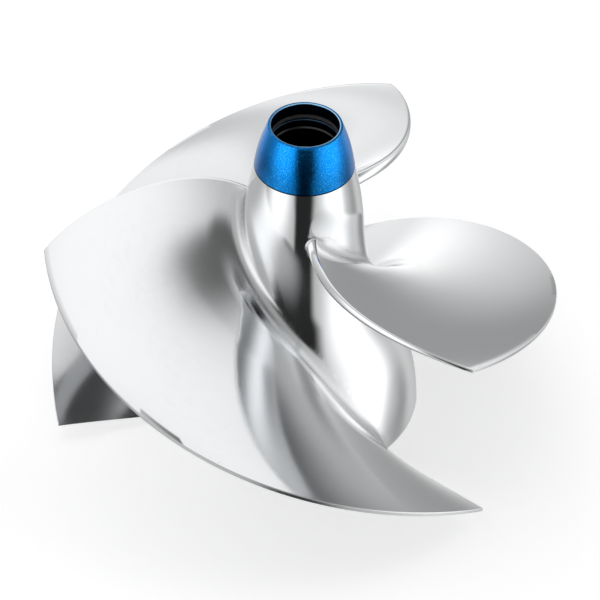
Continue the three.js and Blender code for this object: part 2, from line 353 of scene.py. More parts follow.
class CastingMesh:
    """Hub and blades as one closed skin, worked out point by point so that the fillets follow both."""

    FILLET_STEPS = 8
    RING_SEGMENTS = 180
    SKIN_STEP = 1.5
    LOOP_CLEARANCE = 0.55
    FILLET_AT_EDGES = 0.9
    FILLET_BEHIND = 0.6  # share of the front fillet's run used behind the blade
    FILLET_PULL = 0.62  # how strongly each end of the fillet keeps to its own surface
    FRONT_FADE = 0.07  # shares of the chord over which the fillet shrinks towards the two edges
    REAR_FADE = 0.12
    WEAR_WIDTH = 3.5
    HUB_SPREAD = 30.0  # millimetres of hub per radian, to keep the triangles even
    TIP_CHAMFER = 0.2
    # The cut between two sectors of the hub runs down this helix, clear of the roots, in degrees.
    CUT_START = -30.0
    CUT_END = 142.0
    SMALLEST_FACE = 1e-3

    def __init__(self, settings):
        self.settings = settings
        self.skin = HubSkin()
        self.blade = Blade(settings, self.skin.outline[:, 0].max())
        self.points = []
        self.faces = []
        self.wear = {}
        self.blend = {}

    def add_rows(self, rows, flip=False):
        """Closed rows of points, joined by quads."""
        start = len(self.points)
        count = len(rows[0])
        for row in rows:
            self.points.extend(row)
        for i in range(len(rows) - 1):
            for k in range(count):
                a = start + i * count + k
                b = start + i * count + (k + 1) % count
                quad = (a, b, b + count, a + count)
                self.faces.append(quad[::-1] if flip else quad)
        return start

    def root_radius(self, k):
        low, high = self.blade.inner - 1.5, 50.0
        for _ in range(40):
            middle = (low + high) / 2
            point = self.blade.point(k, middle)
            if middle < self.skin.radius_at(max(0.0, point.z)):
                low = middle
            else:
                high = middle
        return high

    def fillet_run(self, k):
        """The fillet's run at point k of the outline: full along the blade, small round its two edges."""
        count = len(self.blade.shares)
        t = 0.0
        if k < 2 * count:
            t = self.blade.shares[k if k < count else 2 * count - 1 - k]
        fade = clamp01(min((1 - t) / self.REAR_FADE, t / self.FRONT_FADE))
        full = self.settings.fillet / MM * (1.0 if k < count else self.FILLET_BEHIND)
        return mix(self.FILLET_AT_EDGES, full, math.sin(fade * math.pi / 2))

    def blade_rows(self):
        count = self.blade.size()
        roots = [self.root_radius(k) for k in range(count)]
        feet = [self.blade.point(k, roots[k]) for k in range(count)]
        columns = []
        self.loop = []
        for k in range(count):
            run = self.fillet_run(k)
            normal = self.skin.normal(feet[k])
            along = feet[(k + 1) % count] - feet[k - 1]
            outward = normal.cross(along).normalized()
            landing = feet[k] + outward * run
            landing_run = min(self.skin.nearest_run(landing), self.skin.length - 0.3)
            landing_angle = math.atan2(landing.y, landing.x)
            self.loop.append((landing_angle, landing_run))
            foot = self.skin.point(landing_angle, landing_run)
            start = roots[k] + run
            lift = self.blade.point(k, start)
            lift_slope = (self.blade.point(k, start + 0.05) - lift).normalized()
            foot_normal = self.skin.normal(foot)
            slope = feet[k] - foot
            slope = (slope - foot_normal * slope.dot(foot_normal)).normalized()
            columns.append(self.column(k, foot, slope, feet[k], lift, lift_slope, start))
        self.unwrap_loop()
        return [[column[i] for column in columns] for i in range(len(columns[0]))]

    def column(self, k, foot, slope, corner, lift, lift_slope, start):
        """Points from the hub up the fillet and out along the blade to its tip, at point k of the outline."""
        first = foot + slope * (corner - foot).length * self.FILLET_PULL
        second = lift - lift_slope * (corner - lift).length * self.FILLET_PULL
        points = []
        for i in range(self.FILLET_STEPS):
            s = i / self.FILLET_STEPS
            near = foot * (1 - s) ** 3 + first * 3 * s * (1 - s) ** 2
            points.append(near + second * 3 * s * s * (1 - s) + lift * s**3)
        tip = self.blade.tip - self.TIP_CHAMFER
        steps = self.settings.radial_steps
        for i in range(steps + 1):
            points.append(self.blade.point(k, mix(start, tip, i / steps)))
        return points

    def unwrap_loop(self):
        """Makes the loop's angles run without a jump, starting near the blade's base angle."""
        angles = np.unwrap([a for a, _ in self.loop])
        runs = [r for _, r in self.loop]
        self.loop = list(zip(angles.tolist(), runs))

    def tip_rows(self, last_row):
        """The chamfer at a blade's tip: the outline drawn in a little and set on the tip's cylinder, for
        add_tip_face to close.
        """
        count = len(self.blade.shares)
        row = []
        for k, point in enumerate(last_row):
            if k < 2 * count:
                opposite = last_row[2 * count - 1 - k]
            else:
                opposite = (last_row[0] + last_row[2 * count - 1]) / 2
            inward = opposite - point
            step = min(self.TIP_CHAMFER, inward.length * 0.3)
            moved = point + inward.normalized() * step
            scale = self.blade.tip / math.hypot(moved.x, moved.y)
            row.append(Vector((moved.x * scale, moved.y * scale, moved.z)))
        return row

    def edge_wear(self, k, point):
        """1 on the leading, trailing and tip edges of a blade, fading to 0 a few millimetres in."""
        count = len(self.blade.shares)
        if k >= 2 * count:
            return 1.0
        t = self.blade.shares[k if k < count else 2 * count - 1 - k]
        radius = math.hypot(point.x, point.y)
        from_edge = min(t * radius * 2.5, (1 - t) * radius * 2.5, self.blade.tip - radius)
        return clamp01(1 - from_edge / self.WEAR_WIDTH)

    def add_tip_face(self, start):
        count = len(self.blade.shares)
        last = 2 * count - 1
        for k in range(count - 1):
            self.faces.append((start + k, start + k + 1, start + last - k - 1, start + last - k))
        nose = [start + last] + [start + 2 * count + i for i in range(self.blade.NOSE_POINTS)] + [start]
        self.faces.append(tuple(nose))

    def add_blade(self):
        rows = self.blade_rows()
        rows.append(self.tip_rows(rows[-1]))
        start = self.add_rows(rows)
        for i, row in enumerate(rows):
            in_fillet = math.sin(math.pi * clamp01((i + 1) / (self.FILLET_STEPS + 2)))
            for k, point in enumerate(row):
                self.blend[start + i * len(row) + k] = in_fillet
                on_blade = i > self.FILLET_STEPS
                self.wear[start + i * len(row) + k] = self.edge_wear(k, point) if on_blade else 0.0
        self.add_tip_face(start + (len(rows) - 1) * len(rows[0]))

    def cut_angle(self, run):
        return math.radians(mix(self.CUT_START, self.CUT_END, run / self.skin.length))

    def skin_runs(self):
        """Runs of the hub's rings: even steps, closer over the rounded rear edge."""
        edge = self.skin.length - 1.2 * math.pi / 2 * self.skin.EDGE_ROUND
        body = np.linspace(0, edge, int(edge / self.SKIN_STEP))
        return [*body.tolist(), *np.linspace(edge, self.skin.length, 7)[1:].tolist()]

    def add_hub_sector(self):
        """The hub's outside between two cuts, with a hole where the blade's root lands."""
        spread = self.HUB_SPREAD
        per_sector = self.RING_SEGMENTS // BLADE_COUNT
        loop = np.array([(angle * spread, run) for angle, run in self.loop])
        flat = [Vector(p) for p in loop]
        edges = [(i, (i + 1) % len(flat)) for i in range(len(flat))]
        runs = self.skin_runs()
        ring_starts = []
        for j, run in enumerate(runs):
            cut = self.cut_angle(run) - SECTOR / 2
            on_rim = j in (0, len(runs) - 1)
            ring_starts.append(len(flat))
            for i in range(per_sector + 1):
                place = np.array([(cut + SECTOR * i / per_sector) * spread, run])
                inside = 0 < i < per_sector and not on_rim
                if inside and near_loop(place, loop, self.LOOP_CLEARANCE):
                    continue
                flat.append(Vector(place))
        found = delaunay_2d_cdt(flat, edges, [], 0, 1e-5, True)
        start = len(self.points)
        self.points.extend(self.skin.point(v.x / spread, v.y) for v in found[0])
        for a, b, c in found[2]:
            corners = found[0][a], found[0][b], found[0][c]
            centre = sum(corners, Vector((0, 0))) / 3
            area = abs((corners[1] - corners[0]).cross(corners[2] - corners[0]))
            if area > self.SMALLEST_FACE and not inside_loop(np.array(centre), loop):
                self.faces.append((start + a, start + c, start + b))

    def ring(self, radius, height):
        """A full ring in line with the hub's rings; radius may be a function of the angle."""
        points = []
        for i in range(self.RING_SEGMENTS):
            angle = 2 * math.pi * i / self.RING_SEGMENTS
            r = radius(angle) if callable(radius) else radius
            points.append(Vector((r * math.cos(angle), r * math.sin(angle), height)))
        return points


def near_loop(place, loop, clearance):
    gaps = loop - place
    if (np.einsum("ij,ij->i", gaps, gaps) < clearance**2).any():
        return True
    return inside_loop(place, loop)


def inside_loop(place, loop):
    x0, y0 = loop[:, 0], loop[:, 1]
    x1, y1 = np.roll(x0, -1), np.roll(y0, -1)
    spans = (y0 > place[1]) != (y1 > place[1])
    with np.errstate(divide="ignore", invalid="ignore"):
        cross = x0 + (place[1] - y0) / (y1 - y0) * (x1 - x0)
    return bool(np.count_nonzero(spans & (place[0] < cross)) % 2)


class Bore:
    """The rings inside and behind the hub, in millimetres: spigot and socket, then rear face and boss."""

    SPLINE_TEETH = 18
    SPLINE_ROOT = 10.1
    SPLINE_TOOTH = 9.0
    SPLINE_TOP = 94.0
    SPLINE_END = 60.0
    POCKET_RADIUS = 10.4
    POCKET_FLOOR = 50.0
    SPIGOT = 12.5
    SPIGOT_TOP = 102.5
    SHOULDER = 96.2
    GROOVE_BOTTOM = 10.9
    GROOVE_LOW = 98.45
    GROOVE_HIGH = 100.35
    THREAD = 8.6
    THREAD_DEPTH = 0.75
    THREAD_PITCH = 2.0
    THREAD_END = 24.0
    THREAD_STEPS = 6
    BORE_END = 38.0
    RECESS = 31.0
    RECESS_FLOOR = 25.0
    RECESS_DEPTH = 17.0
    BOSS = 14.5
    BOSS_FACE = 1.5
    CHAMFER = 0.35

    @classmethod
    def spline_radius(cls, angle):
        phase = angle * cls.SPLINE_TEETH / (2 * math.pi)
        offset = abs(phase - round(phase))
        return mix(cls.SPLINE_ROOT, cls.SPLINE_TOOTH, clamp01((offset - 0.17) / 0.075))

    @classmethod
    def socket(cls):
        c = cls.CHAMFER
        return [
            (cls.SPIGOT + 0.2, cls.SHOULDER),
            (cls.SPIGOT, cls.SHOULDER + 0.2),
            (cls.SPIGOT, cls.GROOVE_LOW),
            (cls.GROOVE_BOTTOM, cls.GROOVE_LOW),
            (cls.GROOVE_BOTTOM, cls.GROOVE_HIGH),
            (cls.SPIGOT, cls.GROOVE_HIGH),
            (cls.SPIGOT, cls.SPIGOT_TOP - c),
            (cls.SPIGOT - c, cls.SPIGOT_TOP),
            (10.3, cls.SPIGOT_TOP),
            (9.9, cls.SPIGOT_TOP - c),
            (9.9, cls.SPIGOT_TOP - 1.6),
            (10.2, cls.SPIGOT_TOP - 2.0),
            (10.2, cls.SPLINE_TOP + 1),
            (cls.spline_radius, cls.SPLINE_TOP),
            (cls.spline_radius, cls.SPLINE_END),
            (cls.POCKET_RADIUS, cls.SPLINE_END - 0.5),
            (cls.POCKET_RADIUS, cls.POCKET_FLOOR + 1),
            (cls.POCKET_RADIUS - 1, cls.POCKET_FLOOR),
        ]

    @classmethod
    def thread_radius(cls, height):
        def radius(angle):
            phase = (height / cls.THREAD_PITCH + angle / (2 * math.pi)) % 1
            return cls.THREAD + cls.THREAD_DEPTH * (1 - abs(2 * phase - 1))

        return radius

    @classmethod
    def rear(cls):
        c = cls.CHAMFER
        rings = [
            (cls.RECESS + c, 0.0),
            (cls.RECESS, c),
            (cls.RECESS_FLOOR + 0.5, cls.RECESS_DEPTH - 1.2),
            (cls.RECESS_FLOOR - 0.6, cls.RECESS_DEPTH - 0.3),
            (cls.RECESS_FLOOR - 1.6, cls.RECESS_DEPTH),
            (cls.BOSS + 1.6, cls.RECESS_DEPTH),
            (cls.BOSS + 0.5, cls.RECESS_DEPTH - 0.5),
            (cls.BOSS, cls.RECESS_DEPTH - 1.6),
            (cls.BOSS, cls.BOSS_FACE + c),
            (cls.BOSS - c, cls.BOSS_FACE),
            (cls.THREAD + 1.0, cls.BOSS_FACE),
            (cls.THREAD + 0.2, cls.BOSS_FACE + 0.8),
        ]
        count = int((cls.THREAD_END - cls.BOSS_FACE - 1.2) / cls.THREAD_PITCH * cls.THREAD_STEPS)
        for i in range(count + 1):
            height = mix(cls.BOSS_FACE + 1.2, cls.THREAD_END, i / count)
            rings.append((cls.thread_radius(height), height))
        rings.append((cls.THREAD, cls.THREAD_END + 1))
        rings.append((cls.THREAD, cls.BORE_END))
        return rings


def add_lathe(casting, rings, centre_height):
    """Rings joined in order, closed on the axis at the given height."""
    rows = [casting.ring(radius, height) for radius, height in rings]
    start = casting.add_rows(rows)
    last = start + (len(rows) - 1) * casting.RING_SEGMENTS
    centre = len(casting.points)
    casting.points.append(Vector((0, 0, centre_height)))
    for i in range(casting.RING_SEGMENTS):
        casting.faces.append((last + i, last + (i + 1) % casting.RING_SEGMENTS, centre))


def turned(points, angle):
    c, s = math.cos(angle), math.sin(angle)
    return [Vector((p.x * c - p.y * s, p.x * s + p.y * c, p.z)) for p in points]


def casting_mesh(settings):
    casting = CastingMesh(settings)
    casting.add_blade()
    casting.add_hub_sector()
    sector_points, sector_faces = casting.points, casting.faces
    # The fillet mark makes the steel rougher and carries the painted shade in the root fillets.
    marks = {"edge_wear": casting.wear, "fillet": casting.blend}
    casting.points, casting.faces = [], []
    for i in range(BLADE_COUNT):
        start = len(casting.points)
        casting.points.extend(turned(sector_points, FIRST_BLADE_ANGLE + i * SECTOR))
        casting.faces.extend(tuple(start + v for v in face) for face in sector_faces)
    top_radius, top_height = casting.skin.at(0)
    end_radius, end_height = casting.skin.at(casting.skin.length)
    add_lathe(casting, [(top_radius, top_height), *Bore.socket()], Bore.POCKET_FLOOR)
    add_lathe(casting, [(end_radius, end_height), *Bore.rear()], Bore.BORE_END + Bore.THREAD * 0.6)
    mesh = bpy.data.meshes.new("impeller_casting")
    mesh.from_pydata([p * MM for p in casting.points], [], casting.faces)
    for name, values in marks.items():
        mark = mesh.attributes.new(name, "FLOAT", "POINT")
        for v, value in values.items():
            for i in range(BLADE_COUNT):
                mark.data[v + i * len(sector_points)].value = value
    mesh.update()
    return mesh


# ---- Modelling helpers -------------------------------------------------------------------------


def deselect_all():
    for item in bpy.context.selected_objects:
        item.select_set(False)


def activate(piece):
    deselect_all()
    piece.select_set(True)
    bpy.context.view_layer.objects.active = piece


def in_edit_mode(piece, *steps):
    """Runs mesh operators on the whole piece in edit mode."""
    activate(piece)
    bpy.ops.object.mode_set(mode="EDIT")
    for step in steps:
        bpy.ops.mesh.select_all(action="SELECT")
        step()
    bpy.ops.object.mode_set(mode="OBJECT")


def on_faces(piece, wanted, step):
    """Runs a mesh operator on the faces whose middle the test accepts."""
    activate(piece)
    bpy.context.tool_settings.mesh_select_mode = (False, False, True)
    for group in (piece.data.vertices, piece.data.edges):
        group.foreach_set("select", [False] * len(group))
    for face in piece.data.polygons:
        face.select = wanted(face.center)
    bpy.ops.object.mode_set(mode="EDIT")
    step()
    bpy.ops.object.mode_set(mode="OBJECT")


def weld(distance=1e-6):
    bpy.ops.mesh.remove_doubles(threshold=distance)


def face_outwards():
    bpy.ops.mesh.normals_make_consistent(inside=False)


def smooth(piece, angle=35):
    activate(piece)
    bpy.ops.object.shade_smooth_by_angle(angle=math.radians(angle))


def spun_piece(name, profile, segments):
    """A ring turned from a closed profile of radius and height in millimetres."""
    deselect_all()
    bpy.ops.mesh.primitive_circle_add(vertices=len(profile), radius=MM)
    piece = bpy.context.active_object
    piece.name = name
    for vertex, (radius, height) in zip(piece.data.vertices, profile):
        vertex.co = (radius * MM, 0, height * MM)

    def spin():
        bpy.ops.mesh.spin(steps=segments, angle=math.tau, center=(0, 0, 0), axis=(0, 0, 1))

    in_edit_mode(piece, spin, weld, face_outwards)
    smooth(piece)
    return piece


# ---- Shader maths ------------------------------------------------------------------------------


class Value:
    """A socket that can be used in a Python expression; each operation adds a Math node."""

    def __init__(self, tree, socket):
        self.tree = tree
        self.socket = socket

    def math(self, operation, *others):
        return self.tree.math(operation, self, *others)

    def __add__(self, other):
        return self.math("ADD", other)

    def __radd__(self, other):
        return self.tree.math("ADD", other, self)

    def __sub__(self, other):
        return self.math("SUBTRACT", other)

    def __rsub__(self, other):
        return self.tree.math("SUBTRACT", other, self)

    def __mul__(self, other):
        return self.math("MULTIPLY", other)

    def __rmul__(self, other):
        return self.tree.math("MULTIPLY", other, self)

    def __pow__(self, other):
        return self.math("POWER", other)

    def step(self, low, high):
        """0 below low, 1 above high, smooth between."""
        return self.tree.add(
            "ShaderNodeMapRange",
            {"interpolation_type": "SMOOTHSTEP"},
            {"Value": self, "From Min": low, "From Max": high},
        )


class Tree:
    """Adds nodes to a material's or world's tree."""

    def __init__(self, owner):
        owner.use_nodes = True
        self.nodes = owner.node_tree.nodes
        self.links = owner.node_tree.links
        self.nodes.clear()

    def add(self, kind, settings=None, inputs=None, output=0):
        node = self.nodes.new(kind)
        for name, value in (settings or {}).items():
            setattr(node, name, value)
        for name, value in (inputs or {}).items():
            if isinstance(value, Value):
                self.links.new(value.socket, node.inputs[name])
            else:
                node.inputs[name].default_value = value
        return Value(self, node.outputs[output])

    def math(self, operation, *values):
        return self.add("ShaderNodeMath", {"operation": operation}, dict(enumerate(values)))

    def vector(self, operation, *values, output=0):
        return self.add("ShaderNodeVectorMath", {"operation": operation}, dict(enumerate(values)), output)

    def axes(self, vector):
        """The x, y and z of a vector."""
        split = self.add("ShaderNodeSeparateXYZ", None, {"Vector": vector})
        return [Value(self, output) for output in split.socket.node.outputs]

    def place(self):
        return self.add("ShaderNodeTexCoord", output="Object")

    def noise(self, scale, detail=2.0, vector=None):
        return self.add(
            "ShaderNodeTexNoise", None, {"Vector": vector or self.place(), "Scale": scale, "Detail": detail}
        )

    def blend(self, share, first, second):
        """A colour between two, by a share that varies over the surface."""
        return self.add("ShaderNodeMix", {"data_type": "RGBA"}, {0: share, 6: first, 7: second}, output=2)

    def bump(self, height, strength, distance):
        inputs = {"Height": height, "Strength": strength, "Distance": distance}
        return self.add("ShaderNodeBump", None, inputs)

    def surface(self, **inputs):
        """The Principled shader and the output; socket names are given with underscores."""
        named = {name.replace("_", " "): value for name, value in inputs.items()}
        shader = self.add("ShaderNodeBsdfPrincipled", None, named)
        self.add_output("ShaderNodeOutputMaterial", shader)

    def add_output(self, kind, shader):
        node = self.nodes.new(kind)
        self.links.new(shader.socket, node.inputs["Surface"])


def new_material(name):
    material = bpy.data.materials.new(name)
    return material, Tree(material)


def dress(piece, material):
    piece.data.materials.clear()
    piece.data.materials.append(material)


def rgba(colour):
    return (*colour, 1.0)


def spread_vector(tree, x, y, z):
    """A vector from three numbers or sockets."""
    return tree.add("ShaderNodeCombineXYZ", None, {"X": x, "Y": y, "Z": z})


def between(value, low, high, soft):
    """1 where the value lies between low and high, falling to 0 over the soft margin outside."""
    return value.step(low - soft, low) * (1.0 - value.step(high, high + soft))


def steel_regions(radius, z):
    """1 in the cast recess, the rear face, the boss face, the spigot, the socket that carries painted shade,
    and the blade tips.
    """
    recess = between(radius, 14.3 * MM, 31.1 * MM, 0.2 * MM) * (1.0 - z.step(17.2 * MM, 17.4 * MM))
    rear_face = between(radius, 31.2 * MM, 36.4 * MM, 0.2 * MM) * (1.0 - z.step(0.2 * MM, 0.4 * MM))
    boss_face = (1.0 - radius.step(14.3 * MM, 14.5 * MM)) * (1.0 - z.step(1.9 * MM, 2.1 * MM))
    spigot = (1.0 - radius.step(12.6 * MM, 12.7 * MM)) * z.step(96.0 * MM, 96.2 * MM)
    # Painted shade: the socket down inside the nose ring is darkened almost to black.
    socket = (1.0 - radius.step(12.2 * MM, 12.35 * MM)) * z.step(45 * MM, 48 * MM)
    tips = radius.step(79.2 * MM, 79.35 * MM)
    return recess, rear_face, boss_face, spigot, socket, tips


def polished_steel(finish):
    """Hand-polished stainless casting: faint clouding, grain, cast texture in the recess, turned faces, and
    painted shade in the root fillets and down the socket.
    """
    material, tree = new_material("polished_steel")
    place = tree.place()
    x, y, z = tree.axes(place)
    radius = (x * x + y * y) ** 0.5
    angle = y.math("ARCTAN2", x)
    recess, rear_face, boss_face, spigot, socket, tips = steel_regions(radius, z)
    wear = tree.add("ShaderNodeAttribute", {"attribute_name": "edge_wear"}, output=2)
    fillet = tree.add("ShaderNodeAttribute", {"attribute_name": "fillet"}, output=2)
    # Polishing marks follow the blades round the shaft; clouds are the soft unevenness of hand work.
    flow = spread_vector(tree, angle * 0.03, radius, z)
    streaks = tree.noise(520, 3, flow)
    clouds = tree.noise(38, 3, place)
    grain = tree.noise(3400, 2, place)
    scratches = tree.noise(1500, 2, spread_vector(tree, angle * 0.004, radius, z)).step(0.62, 0.72)
    cast = tree.noise(650, 5, place)
    nicks = tree.noise(900, 3, place).step(0.64, 0.74) * wear * wear
    rings = (radius * (math.tau / (0.28 * MM))).math("SINE") * 0.5 + 0.5
    hoops = (z * (math.tau / (0.25 * MM))).math("SINE") * 0.5 + 0.5
    turned_marks = rings * (rear_face + boss_face) + hoops * (spigot + tips)
    machined = (rear_face + boss_face + spigot + tips).math("MINIMUM", 1.0)
    roughness = (
        finish.steel_roughness
        + (clouds - 0.5) * 0.05
        + (streaks - 0.5) * 0.04
        + recess * 0.34
        + machined * 0.1
        + wear * 0.05
        + fillet * 0.22
        + nicks * 0.2
    )
    stain = (tree.noise(120, 4, place).step(0.35, 0.75) * 0.5 + cast * 0.5) * recess
    shade = 1.0 - (clouds - 0.5) * 0.05 - (streaks - 0.5) * 0.05 - stain * 0.45 - nicks * 0.1
    # Painted shade: the colour darkens by a fifth in the root fillets and almost to black down the socket.
    shade = shade * (1.0 - fillet * 0.2) * (1.0 - socket * 0.93) * (1.0 - scratches * 0.03)
    height = (
        grain * 0.8 + clouds * 0.25 + streaks * 0.2 + cast * recess * 14.0 + turned_marks * 1.6 - nicks * 1.5
    )
    tree.surface(
        Base_Color=tree.blend(shade, (0.0, 0.0, 0.0, 1.0), rgba(finish.steel)),
        Metallic=1.0,
        Roughness=roughness,
        Normal=tree.bump(height, 0.5, 0.012 * MM),
    )
    return material


def blue_anodised(finish):
    """Dyed anodising over bead-blasted aluminium: sparkling grain, a painted highlight on the bore's rim and
    the groove's lip, and painted shade inside the bore, on the flat top and towards the base.
    """
    material, tree = new_material("blue_anodised")
    place = tree.place()
    x, y, z = tree.axes(place)
    radius = (x * x + y * y) ** 0.5
    grain = tree.noise(2600, 2, place)
    sparkle = tree.noise(3800, 1, place).step(0.55, 0.75)
    clouds = tree.noise(110, 3, place)
    bore = 1.0 - radius.step(10.55 * MM, 10.75 * MM)
    rim = bore * z.step(110.85 * MM, 110.95 * MM)
    # Painted highlight: a thin line on the groove's lip, mixed faintly towards the rim's pale blue.
    lip_painted_highlight = (1.0 - radius.step(10.5 * MM, 10.6 * MM)) * between(z, 104.95 * MM, 105.2 * MM, 0.04 * MM)
    # Painted shade on the ring's flat top, outside the bore's rim.
    top_face_painted_shade = z.step(110.9 * MM, 111.0 * MM) * (1.0 - rim)
    inside = bore * (1.0 - rim)
    # Painted shade: the ring darkens towards its base.
    lower_painted_shade = 0.4 - z.step(97 * MM, 109 * MM) * 0.4
    shade = 0.98 + (grain - 0.5) * 0.5 + (clouds - 0.5) * 0.2 - top_face_painted_shade * 0.45 - lower_painted_shade
    # The blue carries the painted shade of the flat top and the base along with the grain and clouding.
    dye_and_painted_shade = tree.blend(shade, (0.0, 0.002, 0.03, 1.0), rgba(finish.blue))
    bright = tree.blend(sparkle * 0.5, dye_and_painted_shade, (0.16, 0.80, 1.0, 1.0))
    # Painted shade: the inside of the bore is mixed almost to black.
    with_bore_painted_shade = tree.blend(inside * 0.97, bright, (0.001, 0.002, 0.004, 1.0))
    # Painted highlight: the bore's top rim, and faintly the groove's lip, are mixed towards a pale blue.
    rim_and_lip_painted_highlight = tree.blend((rim + lip_painted_highlight * 0.2).math("MINIMUM", 1.0), with_bore_painted_shade, (0.30, 0.58, 0.86, 1.0))
    tree.surface(
        Base_Color=rim_and_lip_painted_highlight,
        Metallic=1.0,
        Roughness=finish.blue_roughness + (grain - 0.5) * 0.12 + inside * 0.2 - rim * 0.1,
        Normal=tree.bump(grain + sparkle * 0.4, 0.55, 0.03 * MM),
    )
    return material


def black_rubber():
    """Moulded nitrile rubber: matt grain with a faint grey bloom."""
    material, tree = new_material("black_rubber")
    place = tree.place()
    grain = tree.noise(1400, 3, place)
    bloom = tree.noise(160, 4, place).step(0.45, 0.8)
    faded = bloom * 0.5 + grain * 0.2
    tree.surface(
        Base_Color=tree.blend(faded, (0.006, 0.006, 0.007, 1.0), (0.022, 0.022, 0.023, 1.0)),
        Roughness=0.58 + (grain - 0.5) * 0.25 + bloom * 0.1,
        Normal=tree.bump(grain, 0.4, 0.03 * MM),
    )
    return material


def shared_material(name, make):
    return bpy.data.materials.get(name) or make()


# ---- Operators ---------------------------------------------------------------------------------


class IMPELLER_OT_casting(bpy.types.Operator):
    """Makes the hub and its three blades as one blended casting"""

    bl_idname = "impeller.casting"
    bl_label = "Casting"

    def execute(self, context):
        mesh = casting_mesh(context.scene.impeller_casting)
        piece = bpy.data.objects.new("impeller_casting", mesh)
        context.scene.collection.objects.link(piece)
        in_edit_mode(piece, weld, face_outwards)
        smooth(piece)
        dress(piece, polished_steel(context.scene.impeller_finish))
        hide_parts("hub", "blade_1", "blade_2", "blade_3")
        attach(piece, "casting")
        return {"FINISHED"}


class IMPELLER_OT_nose_ring(bpy.types.Operator):
    """Makes the blue anodised ring on the nose"""

    bl_idname = "impeller.nose_ring"
    bl_label = "Nose ring"

    def execute(self, context):
        low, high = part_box("nose_ring")
        piece = spun_piece("anodised_nose_ring", nose_ring_profile(low.z / MM, high.z / MM), 160)
        dress(piece, blue_anodised(context.scene.impeller_finish))
        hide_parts("nose_ring")
        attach(piece, "nose_ring")
        return {"FINISHED"}


def nose_ring_profile(bottom, top):
    """The ring's section: spigot socket, seal groove, thin rim and a taper that bows out a little."""
    base, rim, bore, socket = 15.2, 11.3, 10.23, 12.8
    profile = [
        (socket + 0.2, bottom),
        (socket, bottom + 0.2),
        (socket, 102.6),
        (socket - 0.2, 102.8),
        (bore + 0.2, 102.8),
        (bore, 103.0),
        (bore, 105.05),
        (bore + 0.15, 105.2),
        (11.65, 105.2),
        (11.65, 107.2),
        (bore + 0.15, 107.2),
        (bore, 107.35),
        (bore, top - 0.25),
        (bore + 0.08, top - 0.08),
        (bore + 0.25, top),
        (rim - 0.4, top),
        (rim - 0.12, top - 0.07),
    ]
    steps = 24
    for i in range(steps + 1):
        share = i / steps
        height = mix(top - 0.3, bottom + 0.15, share)
        profile.append((mix(rim, base, share) + 0.45 * math.sin(share * math.pi), height))
    profile.append((base - 0.15, bottom))
    return profile


class IMPELLER_OT_seals(bpy.types.Operator):
    """Makes the two O-rings, one on the spigot and one in the nose ring's bore"""

    bl_idname = "impeller.seals"
    bl_label = "Seals"

    def execute(self, context):
        rubber = shared_material("black_rubber", black_rubber)
        for node, body in (("spigot_seal", "casting"), ("shaft_seal", "nose_ring")):
            low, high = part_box(node)
            section = (high.z - low.z) / 2
            piece = o_ring(node + "_ring", high.x - section, section * 0.98, (low.z + high.z) / 2)
            dress(piece, rubber)
            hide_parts(node)
            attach(piece, body)
        return {"FINISHED"}


def o_ring(name, radius, section, height):
    """A round rubber ring with the raised moulding line that runs round its waist."""
    deselect_all()
    bpy.ops.mesh.primitive_torus_add(
        major_segments=128,
        minor_segments=48,
        major_radius=radius,
        minor_radius=section * 0.95,
        location=(0, 0, 0),
    )
    piece = bpy.context.active_object
    piece.name = name

    def on_waist(middle):
        return abs(middle.z) < section * 0.1 and math.hypot(middle.x, middle.y) > radius

    def raise_line():
        bpy.ops.mesh.inset(thickness=section * 0.03, depth=section * 0.03, use_even_offset=True)

    on_faces(piece, on_waist, raise_line)
    for vertex in piece.data.vertices:
        vertex.co.z += height
    smooth(piece, 40)
    return piece


class IMPELLER_OT_bumper(bpy.types.Operator):
    """Makes the dished rubber bumper at the bottom of the spline socket"""

    bl_idname = "impeller.bumper"
    bl_label = "Spline bumper"

    def execute(self, context):
        low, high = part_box("spline_bumper")
        deselect_all()
        depth = high.z - low.z
        bpy.ops.mesh.primitive_cylinder_add(
            vertices=96, radius=high.x, depth=depth, location=(0, 0, 0), end_fill_type="NGON"
        )
        piece = bpy.context.active_object
        piece.name = "rubber_spline_bumper"

        def dish():
            bpy.ops.mesh.inset(thickness=2.6 * MM)
            bpy.ops.mesh.inset(thickness=1.1 * MM, depth=-1.2 * MM)

        on_faces(piece, lambda middle: middle.z > depth * 0.49, dish)
        for vertex in piece.data.vertices:
            vertex.co.z += (low.z + high.z) / 2
        activate(piece)
        bevel = piece.modifiers.new("edges", "BEVEL")
        bevel.width = 0.5 * MM
        bevel.segments = 4
        bevel.limit_method = "ANGLE"
        bpy.ops.object.modifier_apply(modifier=bevel.name)
        smooth(piece)
        dress(piece, shared_material("black_rubber", black_rubber))
        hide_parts("spline_bumper")
        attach(piece, "spline_bumper")
        return {"FINISHED"}


class IMPELLER_OT_stage(bpy.types.Operator):
    """Makes the floor, the studio light and the camera"""

    bl_idname = "impeller.stage"
    bl_label = "Stage"

    def execute(self, context):
        make_floor()
        make_light(context.scene)
        make_camera(context.scene)
        return {"FINISHED"}


def make_floor():
    deselect_all()
    bpy.ops.mesh.primitive_plane_add(size=40, location=(0, 0, -0.0002))
    floor = bpy.context.active_object
    floor.name = "studio_floor"
    material, tree = new_material("studio_floor")
    mottle = tree.noise(3, 2, tree.place())
    paper = tree.blend(mottle, (0.78, 0.78, 0.79, 1.0), (0.82, 0.82, 0.82, 1.0))
    glow = {"Emission_Color": (1.0, 1.0, 1.0, 1.0), "Emission_Strength": 0.5}
    tree.surface(Base_Color=paper, Roughness=0.9, **glow)
    dress(floor, material)
    floor.visible_glossy = False


